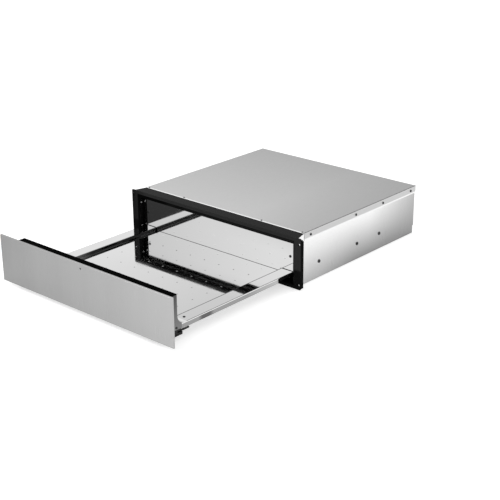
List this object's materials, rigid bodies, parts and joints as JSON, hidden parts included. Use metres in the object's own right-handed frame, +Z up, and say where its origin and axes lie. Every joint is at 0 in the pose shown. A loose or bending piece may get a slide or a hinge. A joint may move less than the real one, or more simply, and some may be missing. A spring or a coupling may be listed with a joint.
{
  "type": "built-in warming drawer",
  "caption": "Built-in warming drawer: steel front, mirror-polished heating tray on full-extension slides, black mounting frame and steel casing with a warm-air fan.",
  "frame": {"origin": "centre of the four screw holes in the frame's ears, on the seats of their screw heads, 0.7 mm behind the front plane of the black frame", "axes": "+X to the viewer's right, +Y back into the cabinet, +Z up; the drawer comes out towards -Y"},
  "size_m": [0.595, 0.9694, 0.1376],
  "materials": {
    "front_steel": "vertical satin brush, fingerprint-resistant",
    "polished_steel": "mirror polished stainless sheet",
    "casing_steel": "satin coated steel sheet",
    "casing_side_steel": "bright coated steel sheet",
    "zinc_sheet": "zinc coated sheet",
    "frame_black": "glossy black moulding",
    "strip_glass": "black glass, unprinted",
    "clip_black": "matte black moulding",
    "slide_black": "black coated steel",
    "screw_black": "black oxide",
    "screw_bright": "plain steel",
    "glide_nylon": "natural nylon",
    "lens_dark": "dark translucent lens, unlit",
    "heater_sheath": "dull heat-resistant sheath",
    "motor_grey": "grey coated can",
    "impeller_alloy": "plain sheet",
    "module_grey": "light grey moulding",
    "terminal_cream": "cream moulding",
    "board_green": "solder mask"
  },
  "bodies": {
    "housing": {"casing_shell": "casing_side_steel", "casing_cover": "casing_steel", "casing_rear": "zinc_sheet", "front_frame": "frame_black", "air_duct": "zinc_sheet", "fan_shroud": "zinc_sheet", "fan_motor": "motor_grey", "heating_element": "heater_sheath", "element_clamps": "terminal_cream", "thermal_cutout": "clip_black", "control_module": "module_grey", "terminal_block": "terminal_cream", "cable_gland": "clip_black", "touch_latch": "clip_black", "cover_side_screws": "screw_black", "cover_front_screws": "screw_black", "bracket_screws": "screw_black", "jamb_screws": "screw_bright", "rear_screws": "screw_bright", "latch_screws": "screw_bright", "slide_bracket_left": "slide_black", "slide_bracket_right": "slide_black", "cabinet_rail_left": "slide_black", "cabinet_rail_right": "slide_black"},
    "drawer": {"drawer_pan": "polished_steel", "drawer_back_wall": "polished_steel", "front_shell": "polished_steel", "box_floor": "zinc_sheet", "control_strip": "strip_glass", "touch_board": "board_green", "front_panel": "front_steel", "panel_backing": "zinc_sheet", "pilot_lens": "lens_dark", "latch_striker": "clip_black", "back_wall_screws": "screw_black", "clip_screws": "screw_black", "pan_rivets": "screw_black", "drawer_rail_left": "slide_black", "drawer_rail_right": "slide_black", "end_plate_left": "polished_steel", "end_plate_right": "polished_steel", "slide_clip_left": "clip_black", "slide_clip_right": "clip_black"},
    "mid_slide_left": {"mid_rail_left": "slide_black", "glide_pads_left": "glide_nylon"},
    "mid_slide_right": {"mid_rail_right": "slide_black", "glide_pads_right": "glide_nylon"},
    "lever_left": {"release_lever_left": "clip_black"},
    "lever_right": {"release_lever_right": "clip_black"},
    "impeller": {"fan_impeller": "impeller_alloy"},
    "plunger": {"latch_plunger": "glide_nylon"}
  },
  "joints": [
    {"name": "drawer_slide", "type": "slide", "parent": "housing", "child": "drawer", "axis": [0, -1, 0], "range_m": [-0.434, 0]},
    {"name": "mid_slide_left_run", "type": "slide", "parent": "housing", "child": "mid_slide_left", "axis": [0, -1, 0], "range_m": [-0.217, 0]},
    {"name": "mid_slide_right_run", "type": "slide", "parent": "housing", "child": "mid_slide_right", "axis": [0, -1, 0], "range_m": [-0.217, 0]},
    {"name": "lever_left_hinge", "type": "hinge", "parent": "drawer", "child": "lever_left", "pos_m": [-0.252, -0.3877, -0.04565], "axis": [0, 0, -1], "range_deg": [0, 8], "stiffness_Nm_per_rad": 0.05},
    {"name": "lever_right_hinge", "type": "hinge", "parent": "drawer", "child": "lever_right", "pos_m": [0.252, -0.3877, -0.04565], "axis": [0, 0, 1], "range_deg": [0, 8], "stiffness_Nm_per_rad": 0.05},
    {"name": "plunger_press", "type": "slide", "parent": "housing", "child": "plunger", "axis": [0, 1, 0], "range_m": [0, 0.004], "stiffness_N_per_m": 400},
    {"name": "fan_spin", "type": "hinge", "parent": "housing", "child": "impeller", "pos_m": [-0.12, 0.4843, 0.003], "axis": [0, 1, 0], "continuous": true}
  ],
  "couplings": [
    {"joint": "mid_slide_left_run", "follows": "drawer_slide", "ratio": 0.5},
    {"joint": "mid_slide_right_run", "follows": "drawer_slide", "ratio": 0.5}
  ]
}
